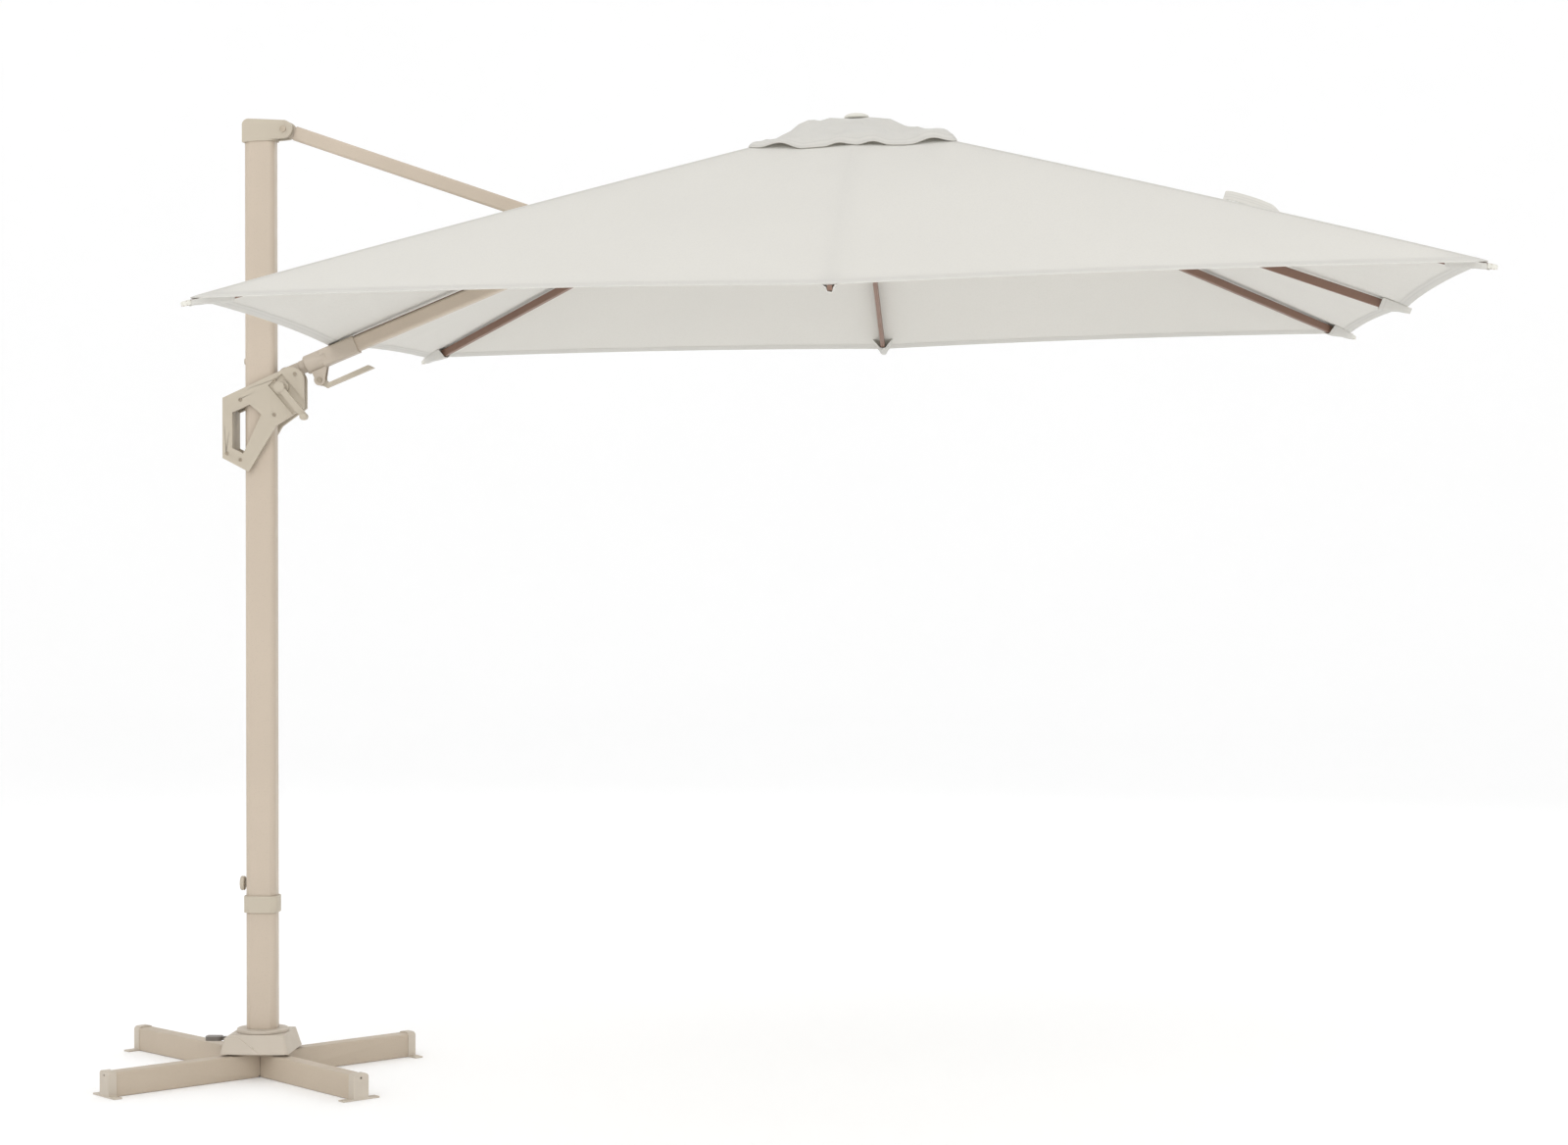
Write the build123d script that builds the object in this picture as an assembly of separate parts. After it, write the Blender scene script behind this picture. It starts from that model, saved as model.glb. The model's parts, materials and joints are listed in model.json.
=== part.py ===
from build123d import *
import math
import os

# Cantilever parasol, millimetres. +X runs from the mast out along the arm, +Z is up,
# and the origin is on the floor under the middle of the mast.

# Driving dimensions
CANOPY_SIDE = 3000.0
CANOPY_X = 1680.0
HUB_Z = 2636.0
CANOPY_TILT = 1.2
CORNER_DROP = 516.0
MID_DROP = 526.0
ARM_EDGE_DROP = 551.0
APEX_RISE = 30.0
FABRIC = 3.0

MAST_X = 85.0
MAST_Y = 60.0
MAST_R = 16.0
MAST_WALL = 2.5
MAST_TOP = 2632.0
POLE_JOINT = 485.0
COLLAR_LOW = 461.0
COLLAR_HIGH = 508.0
STUD_Z = 2010.0
KNOB_Z = 541.0
CAP_SIDE = 68.0
CAP_BACK = -47.0
CAP_TOP = 2691.0
EAR_R = 25.0
PIN_R = 6.0

STRUT_TOP = (70.0, 2661.0)
ARM_PIVOT = (72.0, 1975.2)
CROSSING = (978.6, 2348.1)

ARM_WIDE = 40.0
ARM_HIGH = 42.0
ARM_TUBE_END = 1609.0
STRUT_WIDE = 30.0
STRUT_HIGH = 40.0

RIB_WIDE = 14.0
RIB_HIGH = 24.0
RIB_PIN_R = 45.0
NOSE = 70.0
NOSE_HALF = 6.0
TIP_AT_MID = 6.0
TIP_AT_CORNER = 22.0
STAY_AT_MID = 520.0
STAY_AT_CORNER = 498.0
STAY_DROP = 20.0
LOWER_HUB_DROP = 398.3

BEAM_WIDE = 45.0
BEAM_HIGH = 67.0
BEAM_R = 4.0
PLATE_SIDE = 150.0
PLATE_THICK = 6.0
PLATE_TOP = BEAM_HIGH + PLATE_THICK
COVER_TOP = 125.0
RING_LOW = 125.5
RING_HIGH = 134.5
POST_R = 25.0
PEDAL = (-70.0, 50.0, 95.0)

RUNNING = 0.05

# Worked out from them
HALF = CANOPY_SIDE / 2
STRUT_DX = CROSSING[0] - STRUT_TOP[0]
STRUT_DZ = STRUT_TOP[1] - CROSSING[1]
STRUT_LENGTH = math.hypot(STRUT_DX, STRUT_DZ)
STRUT_SLOPE = math.degrees(math.atan2(STRUT_DZ, STRUT_DX))
ARM_DX = CROSSING[0] - ARM_PIVOT[0]
ARM_DZ = CROSSING[1] - ARM_PIVOT[1]
ARM_TO_CROSSING = math.hypot(ARM_DX, ARM_DZ)
ARM_SLOPE = math.degrees(math.atan2(ARM_DZ, ARM_DX))
CANOPY = Pos(CANOPY_X, 0, HUB_Z) * Rot(0, -CANOPY_TILT, 0)

# Legs of the base: azimuth, length from the middle, where the tube starts.
# The one under the far side, behind the mast, is longer and turned out a little.
BUTT_GAP = 0.8
SIDE_START = BEAM_WIDE / 2 + BUTT_GAP
LEGS = [
    (315.0, 497.0, -BEAM_WIDE / 2),
    (45.0, 497.0, SIDE_START),
    (225.0, 497.0, SIDE_START),
    (138.5, 616.0, SIDE_START + 4),
]

# Ribs by the way they point: name, azimuth, distance to the tip, drop of the fabric there
RIBS = [
    ("outer", 0.0, HALF, MID_DROP),
    ("outer_far", 45.0, HALF * math.sqrt(2), CORNER_DROP),
    ("far", 90.0, HALF, MID_DROP),
    ("mast_far", 135.0, HALF * math.sqrt(2), CORNER_DROP),
    ("mast_near", 225.0, HALF * math.sqrt(2), CORNER_DROP),
    ("near", 270.0, HALF, MID_DROP),
    ("outer_near", 315.0, HALF * math.sqrt(2), CORNER_DROP),
]


def along(length, wide, high, radius, start=0.0):
    """A bar that starts at x = start and runs along +X."""
    section = Plane.YZ * RectangleRounded(wide, high, radius)
    return Pos(start, 0, 0) * extrude(section, amount=length)


def tube_along(length, wide, high, radius, wall, start=0.0):
    outside = along(length, wide, high, radius, start)
    return outside - along(length, wide - 2 * wall, high - 2 * wall, radius - wall, start)


def rod(x, z, radius, low, high):
    """A round rod along Y between y = low and y = high."""
    middle = (low + high) / 2
    return Pos(x, middle, z) * Rot(90, 0, 0) * Cylinder(radius, high - low)


def side_plate(outline, low, high):
    """An outline in X and Z, thickened from y = low to y = high."""
    face = make_face(Polyline(*[(x, 0, z) for x, z in outline], close=True))
    return Pos(0, low, 0) * extrude(face, amount=high - low, dir=(0, 1, 0))


def upright(wide_x, wide_y, radius, low, high):
    return Pos(0, 0, low) * extrude(RectangleRounded(wide_x, wide_y, radius), amount=high - low)


def on_arm(shape):
    """From the arm's own axis, with +X along it, to its place on the mast."""
    return Pos(ARM_PIVOT[0], 0, ARM_PIVOT[1]) * Rot(0, -ARM_SLOPE, 0) * shape


def on_strut(shape):
    return Pos(STRUT_TOP[0], 0, STRUT_TOP[1]) * Rot(0, STRUT_SLOPE, 0) * shape


def write(name, shape):
    export_step(shape, f"parts/{name}.step")


# Base: a beam through the middle, three side beams, end feet, plate, cover and pedal


def beam(start, end):
    tube = tube_along(end - start, BEAM_WIDE, BEAM_HIGH, BEAM_R, 2, start)
    return Pos(0, 0, BEAM_HIGH / 2) * tube


def side_beam(start, end):
    """A beam with its lower edge rounded off where it butts on the middle one."""
    corner = Pos(start + 6, 0, 6) * Box(12.2, 60, 12.2) - rod(start + 12, 12, 12, -40, 40)
    return beam(start, end) - corner


CAP_LONG = 25.0
CAP_END = 3.0
CAP_WIDE = BEAM_WIDE + 3
CAP_HIGH = BEAM_HIGH + 4
FOOT_THICK = 4.0


def foot(end):
    """The domed cap and floor plate on a beam that runs along +X and stops at x = end."""
    back = end + CAP_END - CAP_LONG
    cap = Pos(0, 0, CAP_HIGH / 2) * along(CAP_LONG, CAP_WIDE, CAP_HIGH, 11, back)
    skirt = Pos(back + CAP_LONG / 2, 0, 15) * Box(CAP_LONG, CAP_WIDE, 30)
    plate = Pos(end - 7.5, 0, FOOT_THICK / 2) * Box(25, 116, FOOT_THICK)
    hole = Pos(end, 0, BEAM_HIGH - 8) * Rot(0, 90, 0) * Cylinder(3, 20)
    notch = Pos(back, 0, CAP_HIGH) * Box(7, 18, 5)
    pocket = Pos(0, 0, BEAM_HIGH / 2) * along(60, BEAM_WIDE, BEAM_HIGH, BEAM_R, end - 60)
    under = Pos(end - 50, 0, 0) * Box(100, BEAM_WIDE, 2 * FOOT_THICK)
    return cap + skirt + plate - pocket - under - hole - notch


def build_base():
    azimuth, end, start = LEGS[0]
    write("centre_beam", Rot(0, 0, azimuth) * beam(start, end))
    side = [Rot(0, 0, azimuth) * side_beam(start, end) for azimuth, end, start in LEGS[1:]]
    write("side_beams", Compound(side))
    write("beam_feet", Compound([Rot(0, 0, azimuth) * foot(end) for azimuth, end, _ in LEGS]))
    write("base_plate", build_base_plate())
    bolts = [Rot(0, 0, 45 + 90 * i) * Pos(62, 0, PLATE_TOP) * base_bolt() for i in range(4)]
    write("base_bolts", Compound(bolts))
    write("base_cover", build_cover())


def base_bolt():
    """The hexagon head of a bolt through the base plate."""
    return extrude(RegularPolygon(8, 6), amount=6)


def build_base_plate():
    plate = Pos(0, 0, BEAM_HIGH + PLATE_THICK / 2) * Box(PLATE_SIDE, PLATE_SIDE, PLATE_THICK)
    post_high = RING_HIGH - 1 - PLATE_TOP
    post = Pos(0, 0, PLATE_TOP + post_high / 2) * Cylinder(POST_R, post_high)
    ear_high = PEDAL[2] + 8 - PLATE_TOP
    ear = Box(18, 5, ear_high)
    ears = [Pos(PEDAL[0], PEDAL[1] + side * 12, PLATE_TOP + ear_high / 2) * ear for side in (-1, 1)]
    bore = rod(PEDAL[0], PEDAL[2], 4 + RUNNING, 30, 70)
    return plate + post + ears[0] + ears[1] - bore


def frustum(bottom, top, radius, low, high):
    """A loft between two rounded rectangles, each given as (middle x, middle y, width, depth)."""
    sections = []
    for (x, y, wide, deep), z, corner in ((bottom, low, radius), (top, high, radius - 2)):
        sections.append(Pos(x, y, z) * RectangleRounded(wide, deep, corner))
    return loft(sections)


def build_cover():
    """A hollow cover that narrows upwards, with a lower hump at its front left corner."""
    low, wall = PLATE_TOP + 0.5, 3.0
    hump_top = low + 43
    outside = frustum((0, 0, 184, 184), (0, 0, 156, 156), 10, low, COVER_TOP)
    outside = outside + frustum((-42, -52, 118, 84), (-68, -49, 46, 68), 8, low, hump_top)
    inside = frustum((0, 0, 178, 178), (0, 0, 150, 150), 7, low - 0.01, COVER_TOP - wall)
    inside = inside + frustum((-42, -52, 112, 78), (-68, -49, 40, 62), 5, low - 0.01, hump_top - wall)
    slot = Pos(-85, PEDAL[1], PEDAL[2] - 2) * Box(40, 17, 30)
    return outside - inside - Pos(0, 0, COVER_TOP) * Cylinder(32, 20) - slot


def build_pedal():
    stem = Pos(PEDAL[0] - 35, PEDAL[1], PEDAL[2]) * Box(70, 12, 10)
    boss = rod(PEDAL[0], PEDAL[2], 9, PEDAL[1] - 9, PEDAL[1] + 9)
    pin = rod(PEDAL[0], PEDAL[2], 4, PEDAL[1] - 14.5, PEDAL[1] + 14.5)
    tread = Pos(PEDAL[0] - 82, PEDAL[1], PEDAL[2]) * extrude(RectangleRounded(46, 34, 8), amount=12)
    write("foot_pedal", stem + boss + pin + Pos(0, 0, -6) * tread)


# Mast: swivel ring, lower pole, collar, tube, cap


def mast_section(low, high):
    outside = upright(MAST_X, MAST_Y, MAST_R, low, high)
    inner = (MAST_X - 2 * MAST_WALL, MAST_Y - 2 * MAST_WALL, MAST_R - MAST_WALL)
    return outside - upright(*inner, low, high)


def from_back(x, z, radius, length):
    """A short round piece along X, centred at (x, z)."""
    return Pos(x, 0, z) * Rot(0, 90, 0) * Cylinder(radius, length)


def build_mast():
    ring = Pos(0, 0, (RING_LOW + RING_HIGH) / 2) * Cylinder(72, RING_HIGH - RING_LOW)
    ring = fillet(ring.edges().sort_by(Axis.Z)[-1:], 2.5) - Cylinder(POST_R + RUNNING, 400)
    write("swivel_ring", ring)
    write("lower_pole", mast_section(RING_HIGH, POLE_JOINT))
    collar = upright(MAST_X + 12, MAST_Y + 12, 20, COLLAR_LOW, COLLAR_HIGH)
    collar = fillet(collar.edges().group_by(Axis.Z)[-1], 2)
    write("mast_collar", collar - upright(MAST_X, MAST_Y, MAST_R, 400, 600))
    back = -MAST_X / 2
    write("mast_tube", mast_section(POLE_JOINT, MAST_TOP) - from_back(back, KNOB_Z, 4 + RUNNING, 20))
    write("stop_stud", from_back(back - 2.5, STUD_Z, 9, 5))
    disc = fillet(from_back(back - 13, KNOB_Z, 20, 12).edges(), 3)
    write("lock_knob", disc + from_back(back - 1, KNOB_Z, 4, 14))


def build_cap():
    """A domed cap that runs out to two ears, which hold the strut's pin."""
    ax, az = STRUT_TOP
    back, top, half = CAP_BACK, CAP_TOP, CAP_SIDE / 2
    lines = Polyline((ax, 0, az - EAR_R), (back, 0, az - 36), (back, 0, top - 15))
    crown = ThreePointArc((back, 0, top - 15), (back + 7, 0, top - 4), (back + 19, 0, top))
    slope = Line((back + 19, 0, top), (ax, 0, az + EAR_R))
    ear = ThreePointArc((ax, 0, az + EAR_R), (ax + EAR_R, 0, az), (ax, 0, az - EAR_R))
    face = make_face([lines, crown, slope, ear])
    body = Pos(0, -half, 0) * extrude(face, amount=CAP_SIDE, dir=(0, 1, 0))
    body = body + upright(94, CAP_SIDE, 18, MAST_TOP - 3, MAST_TOP + 36)
    slot = Pos(47 + 50, 0, az - 10) * Box(100, STRUT_WIDE + 2, 140)
    inside = upright(MAST_X, MAST_Y, MAST_R, MAST_TOP - 10, MAST_TOP)
    write("mast_cap", body - slot - inside - rod(ax, az, PIN_R, -half, half))
    pin = rod(ax, az, PIN_R, -half, half)
    for low, high in ((-half - 2.5, -half), (half, half + 2.5)):
        pin = pin + rod(ax, az, 9, low, high)
    write("strut_pin", pin)


# Strut: tube, head and fork

FORK_IN = 39.0
FORK_OUT = 44.0
JOURNAL_R = 29.0
COLLAR_R = 37.0


def build_strut():
    end = STRUT_LENGTH
    write("strut_tube", on_strut(tube_along(end - 150, STRUT_WIDE, STRUT_HIGH, 6, 2, 30)))
    head = along(60, STRUT_WIDE - 4.2, STRUT_HIGH - 4.2, 4.2, 29)
    eye = rod(0, 0, 18, -13.0, 13.0) + Pos(15, 0, 0) * Box(30, 26, 34)
    head = head + eye - rod(0, 0, PIN_R + RUNNING, -20, 20)
    bridge = Pos(end - 118, 0, 0) * Box(40, 2 * FORK_IN, STRUT_HIGH - 4)
    bridge = bridge - along(60, STRUT_WIDE, STRUT_HIGH, 6, end - 180)
    fork = bridge + along(60, STRUT_WIDE - 4.2, STRUT_HIGH - 4.2, 4.2, end - 178)
    for side in (-1, 1):
        y = side * (FORK_IN + FORK_OUT) / 2
        wide = FORK_OUT - FORK_IN
        blade = Pos(end - 69, y, 0) * Box(138, wide, 34)
        blade = blade + Pos(end, y, 0) * Rot(90, 0, 0) * Cylinder(17, wide)
        fork = fork + blade
    fork = fork - rod(end, 0, 7 + RUNNING, -60, 60)
    write("strut_ends", on_strut(Compound([head, fork])))


# Arm: what turns with the strut's and carriage's pivots, then what rolls inside it


def build_cradle():
    at = ARM_TO_CROSSING
    ring = Pos(at, 0, 0) * Rot(0, 90, 0) * Cylinder(COLLAR_R, 70)
    ring = fillet(ring.edges(), 3) - Pos(at, 0, 0) * Rot(0, 90, 0) * Cylinder(JOURNAL_R + RUNNING, 80)
    for side in (-1, 1):
        y = side * 40.5
        trunnion = Pos(at, y, 0) * Rot(90, 0, 0) * Cylinder(7, 9)
        ring = ring + (trunnion - Pos(at, 0, 0) * Rot(0, 90, 0) * Cylinder(35, 90))
        ring = ring + Pos(at, side * 46.3, 0) * Rot(90, 0, 0) * Cylinder(11, 3.5)
    write("arm_collar", on_arm(ring))
    tongue = rod(0, 0, 18, -14, 14) + Pos(22, 0, 0) * Box(44, 28, 32)
    stub = Pos(92, 0, 0) * Rot(0, 90, 0) * Cylinder(19, 96)
    knuckle = tongue + stub - rod(0, 0, PIN_R + RUNNING, -20, 20)
    write("arm_knuckle", on_arm(knuckle))


LEVER_PIVOT = (168.6, 1957.3)


def build_arm():
    bore = Pos(100, 0, 0) * Rot(0, 90, 0) * Cylinder(19 + RUNNING, 120)
    neck = Pos(91, 0, 0) * Rot(0, 90, 0) * Cylinder(27, 66)
    neck = fillet(neck.edges().sort_by(Axis.X)[:1], 7)
    box = along(104, 50, 50, 7, 112)
    sleeve = on_arm(neck + box - bore - along(80, ARM_WIDE, ARM_HIGH, 8, 145))
    x, z = LEVER_PIVOT
    for side in (-1, 1):
        low, high = sorted((side * 9.5, side * 15.5))
        ear = rod(x, z, 16, low, high) + side_plate(
            [(x - 14, z + 3), (x + 15, z + 2), (x + 21, z + 40), (x - 22, z + 22)], low, high)
        sleeve = sleeve + (ear - on_arm(along(160, 44, 44, 6, 40)))
    sleeve = sleeve - rod(x, z, 4, -20, 20)
    write("arm_sleeve", sleeve)
    pin = rod(x, z, 4, -15.5, 15.5) + rod(x, z, 8, -18, -15.5) + rod(x, z, 8, 15.5, 18)
    write("lever_pin", pin)
    tube = tube_along(ARM_TUBE_END - 150, ARM_WIDE, ARM_HIGH, 8, 2.5, 150)
    write("arm_tube", on_arm(tube))
    journal = Pos(ARM_TO_CROSSING, 0, 0) * Rot(0, 90, 0) * Cylinder(JOURNAL_R, 84)
    journal = journal - along(100, ARM_WIDE, ARM_HIGH, 8, ARM_TO_CROSSING - 50)
    write("arm_journal", on_arm(journal))
    write("arm_end", build_arm_end())


HINGE = CANOPY * Pos(-RIB_PIN_R, 0, 0)
HINGE_X = HINGE.position.X
HINGE_Z = HINGE.position.Z


def build_arm_end():
    """A plug in the arm's end with a tongue that rises to the canopy's hinge."""
    plug = along(45, ARM_WIDE - 5, ARM_HIGH - 5, 5.5, ARM_TUBE_END - 35)
    plug = on_arm(plug + along(6, ARM_WIDE, ARM_HIGH, 8, ARM_TUBE_END))
    reach = math.radians(ARM_SLOPE)
    end_x = ARM_PIVOT[0] + ARM_TUBE_END * math.cos(reach)
    end_z = ARM_PIVOT[1] + ARM_TUBE_END * math.sin(reach)
    tongue = side_plate([(end_x - 8, end_z + 18), (end_x + 8, end_z - 16),
                         (HINGE_X + 6, HINGE_Z - 9.5), (HINGE_X - 6, HINGE_Z + 9.5)], -9, 9)
    tongue = tongue - on_arm(along(60, ARM_WIDE, ARM_HIGH, 8, ARM_TUBE_END - 60))
    eye = rod(HINGE_X, HINGE_Z, 11, -9, 9)
    return plug + tongue + eye - rod(HINGE_X, HINGE_Z, 4 + RUNNING, -20, 20)


def build_lever():
    x, z = LEVER_PIVOT
    eye = rod(x, z, 12, -9, 9)
    heel = side_plate([(x - 4, z - 12), (x + 11, z + 4), (x + 31, z - 13), (x + 22, z - 23)], -9, 9)
    blade = side_plate([(x + 19, z - 23), (x + 24, z - 8), (x + 137, z + 41), (x + 153, z + 33)], -14, 14)
    lever = eye + heel + (blade - rod(x, z, 17.5, -20, 20)) - rod(x, z, 4 + RUNNING, -20, 20)
    write("tilt_lever", lever)


# Carriage on the mast

CARRIAGE_OUT = 46.0
CARRIAGE_IN = 33.0
GRIP_X = -73.0
OPENING = [(GRIP_X, 1866), (-23, 1888), (10, 1859), (-42, 1750), (GRIP_X, 1766)]
SCREWS = [(105, 1973), (46, 1954), (-50, 1901), (46, 1859), (-88, 1751), (-50, 1733)]
CRANK = (67.0, 1936.0)


def shell(side, right):
    """One side plate, with its half of the vertical grip."""
    corner = 36.0
    turn = (right - corner, 1993 - corner)
    lines = Polyline((turn[0] - 15, 0, turn[1] + 33), (-101, 0, 1907), (-101, 0, 1738),
                     (-27, 0, 1699), (51, 0, 1828), (right, 0, 1878), (right, 0, turn[1]))
    middle = (turn[0] + 23, 0, turn[1] + 26)
    arc = ThreePointArc((right, 0, turn[1]), middle, (turn[0] - 15, 0, turn[1] + 33))
    face = make_face([lines, arc])
    low, high = sorted((side * CARRIAGE_IN, side * CARRIAGE_OUT))
    plate = Pos(0, low, 0) * extrude(face, amount=high - low, dir=(0, 1, 0))
    plate = plate - side_plate(OPENING, low - 1, high + 1)
    grip_low, grip_high = sorted((side * CARRIAGE_IN, side * 0.2))
    grip = side_plate([(-101, 1738), (-101, 1907), (GRIP_X, 1907), (GRIP_X, 1738)], grip_low, grip_high)
    return plate + grip


RECESS_DEPTH = 5.0
CRANK_REACH = (72.0, -84.0)


def crank_slope():
    return math.degrees(math.atan2(-CRANK_REACH[1], CRANK_REACH[0]))


def crank_recess():
    """The shallow channel that the crank's arm lies over, open at the plate's lower edge."""
    channel = Pos(46, 0, 0) * Box(148, 2 * RECESS_DEPTH, 50)
    return Pos(CRANK[0], -CARRIAGE_OUT, CRANK[1]) * Rot(0, crank_slope(), 0) * channel


def build_carriage():
    bore = rod(CRANK[0], CRANK[1], 6 + RUNNING, -60, 60)
    holes = [rod(x, z, 3, -60, 60) for x, z in SCREWS]
    near = shell(-1, 131) - bore - holes - crank_recess()
    boss = rod(CRANK[0], CRANK[1], 21, -52, RECESS_DEPTH - CARRIAGE_OUT) - bore
    write("carriage_near", near + boss)
    write("carriage_far", shell(1, 121) - bore - holes)
    front = Pos(50, 0, 1893) * Box(12, 2 * CARRIAGE_IN, 34)
    rear = Pos(-60, 0, 1903) * Box(13, 2 * CARRIAGE_IN, 24)
    write("guide_pads", Compound([front, rear]))
    write("carriage_screws", Compound([screw(x, z, side) for x, z in SCREWS for side in (-1, 1)]))
    x, z = ARM_PIVOT
    write("arm_pin", rod(x, z, PIN_R, -CARRIAGE_IN, CARRIAGE_IN))


def screw(x, z, side):
    shank = sorted((side * (CARRIAGE_IN + 1), side * CARRIAGE_OUT))
    head = sorted((side * CARRIAGE_OUT, side * (CARRIAGE_OUT + 1.6)))
    socket = sorted((side * (CARRIAGE_OUT - 1), side * (CARRIAGE_OUT + 2)))
    return rod(x, z, 3, *shank) + rod(x, z, 5.5, *head) - rod(x, z, 2.2, *socket)


def build_crank():
    x, z = CRANK
    shaft = rod(x, z, 6, -56, 44) + rod(x, z, 10, -25, 25)
    rims = rod(x, z, 17, 22, 25) + rod(x, z, 17, -25, -22)
    write("rope_drum", shaft + rims)
    tip_x, tip_z = x + CRANK_REACH[0], z + CRANK_REACH[1]
    hub = rod(x, z, 14, -76, -56.0)
    length = math.hypot(*CRANK_REACH)
    bar = Pos(x, -69, z) * Rot(0, crank_slope(), 0) * Pos(length / 2, 0, 0) * Box(length, 9, 17)
    end = rod(tip_x, tip_z, 9, -73.5, -64.5)
    write("crank_arm", hub + bar + end - rod(tip_x, tip_z, 3 + RUNNING, -80, -60))
    grip = fillet(rod(tip_x, tip_z, 10, -98, -74).edges(), 3)
    write("crank_knob", grip + rod(tip_x, tip_z, 3, -74, -62) + rod(tip_x, tip_z, 5, -64.1, -61.5))


# Canopy frame, in its own axes: origin at the hub, slightly nose up


def radial(azimuth, shape):
    return Rot(0, 0, azimuth) * shape


def rib_angle(reach, drop):
    """How far below level a rib points, so that its top runs just under the fabric's end."""
    return math.degrees(math.atan2(rib_fall(reach, drop), reach - RIB_PIN_R))


def rib_fall(reach, drop):
    """The fabric falls away on both sides of a corner rib, so that one lies a little lower."""
    gap = 3.2 if reach > HALF else 1.0
    return drop + gap + RIB_HIGH / 2


def stay_at(reach):
    return STAY_AT_CORNER if reach > HALF else STAY_AT_MID


def stay_shape(reach, drop):
    """The angle at which a stay rises from the lower hub, and its length between its pins."""
    angle = math.radians(rib_angle(reach, drop))
    at = stay_at(reach)
    pin_x = at * math.cos(angle) - STAY_DROP * math.sin(angle)
    pin_z = LOWER_HUB_DROP - at * math.sin(angle) - STAY_DROP * math.cos(angle)
    return math.degrees(math.atan2(pin_z, pin_x)), math.hypot(pin_z, pin_x)


def build_hub():
    disc = Cylinder(60, 28)
    disc = fillet(disc.edges(), 4)
    pins = []
    for _, azimuth, _, _ in RIBS:
        slot = Pos(60, 0, 0) * Box(60, RIB_WIDE + 0.8, 40)
        pin = Pos(RIB_PIN_R, 0, 0) * Rot(90, 0, 0) * Cylinder(2.5, 25)
        disc = disc - radial(azimuth, slot + pin)
        pins.append(radial(azimuth, pin))
    arm_slot = Pos(-60, 0, 0) * Box(60, 19, 40)
    arm_pin = Pos(-RIB_PIN_R, 0, 0) * Rot(90, 0, 0) * Cylinder(4, 26)
    disc = disc - arm_slot - arm_pin
    pins.append(arm_pin)
    write("top_hub", CANOPY * disc)
    write("hub_pins", CANOPY * Compound(pins))
    dome = Pos(0, 0, 49) * Cylinder(35, 14)
    dome = fillet(dome.edges().sort_by(Axis.Z)[-1:], 6)
    write("finial", CANOPY * (dome + Pos(0, 0, 28.5) * Cylinder(8, 29)))


def build_lower_hub():
    disc = fillet(Cylinder(60, 22).edges(), 3)
    for name, azimuth, _, _ in RIBS:
        slot = radial(azimuth, Pos(58, 0, 0) * Box(64, 11.2, 30))
        disc = disc - slot
        if name == "near":
            disc = disc + radial(azimuth, Pos(RIB_PIN_R, 0, 0) * Rot(90, 0, 0) * Cylinder(2.5, 14))
    write("lower_hub", CANOPY * Pos(0, 0, -LOWER_HUB_DROP) * disc)


def rib_nose(length, tip):
    """The plastic end of a rib: a plug in the tube, then a low nose that slips into the fabric's pocket."""
    plug = along(25, RIB_WIDE - 3.2, RIB_HIGH - 3.2, 1.4, length - NOSE - 25)
    start, top = length - NOSE, RIB_HIGH / 2
    outline = [(start, top), (start, 3 - top), (start + 28, -1.5), (length + tip, 1.5),
               (length + tip, top - 2), (length + tip - 6, top)]
    return plug + side_plate(outline, -NOSE_HALF, NOSE_HALF)


def build_rib(name, azimuth, reach, drop):
    angle = rib_angle(reach, drop)
    length = math.hypot(reach - RIB_PIN_R, rib_fall(reach, drop))
    tube = length - NOSE
    bar = along(tube, RIB_WIDE, RIB_HIGH, 3, 0) + Rot(90, 0, 0) * Cylinder(RIB_HIGH / 2, RIB_WIDE)
    bar = bar - along(length, RIB_WIDE - 3, RIB_HIGH - 3, 1.5, 30)
    bar = bar - Rot(90, 0, 0) * Cylinder(2.5 + RUNNING, 40)
    at = stay_at(reach)
    pin = Pos(at, 0, -STAY_DROP) * Rot(90, 0, 0) * Cylinder(2.5, 16.6)
    for side in (-1, 1):
        ear = Pos(at, side * 6.8, -STAY_DROP + 4) * Box(22, 3, 24)
        bar = bar + (ear - along(length, RIB_WIDE, RIB_HIGH, 3, 0))
    bar = bar + pin
    nose = rib_nose(length, TIP_AT_CORNER if reach > HALF else TIP_AT_MID)
    turn = Rot(0, 0, azimuth) * Pos(RIB_PIN_R, 0, 0) * Rot(0, angle, 0)
    write("rib_" + name, CANOPY * turn * Compound([bar, nose]))


def build_stay(name, azimuth, reach, drop):
    """A flat bar from the lower hub up to the rib, with a round eye at each end."""
    rise, length = stay_shape(reach, drop)
    bar = Pos(length / 2, 0, 0) * Box(length, 10, 12)
    for x in (0, length):
        bar = bar + Pos(x, 0, 0) * Rot(90, 0, 0) * Cylinder(6.5, 10)
        bar = bar - Pos(x, 0, 0) * Rot(90, 0, 0) * Cylinder(2.5 + RUNNING, 20)
    turn = Rot(0, 0, azimuth) * Pos(RIB_PIN_R, 0, -LOWER_HUB_DROP) * Rot(0, -rise, 0)
    write("stay_" + name, CANOPY * turn * bar)


# Canopy fabric, one gore to each rib and one to the arm, and the small vent cap

TIPS = [
    Vector(HALF, 0, -MID_DROP),
    Vector(HALF, HALF, -CORNER_DROP),
    Vector(0, HALF, -MID_DROP),
    Vector(-HALF, HALF, -CORNER_DROP),
    Vector(-HALF, 0, -ARM_EDGE_DROP),
    Vector(-HALF, -HALF, -CORNER_DROP),
    Vector(0, -HALF, -MID_DROP),
    Vector(HALF, -HALF, -CORNER_DROP),
]
GORES = ["outer", "outer_far", "far", "mast_far", "arm", "mast_near", "near", "outer_near"]
APEX = Vector(0, 0, APEX_RISE)
VENT_HALF = 280.0


def thicken(points):
    face = make_face(Polyline(*points, close=True))
    solid = extrude(face, amount=FABRIC, dir=(0, 0, 1))
    return solid


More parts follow.
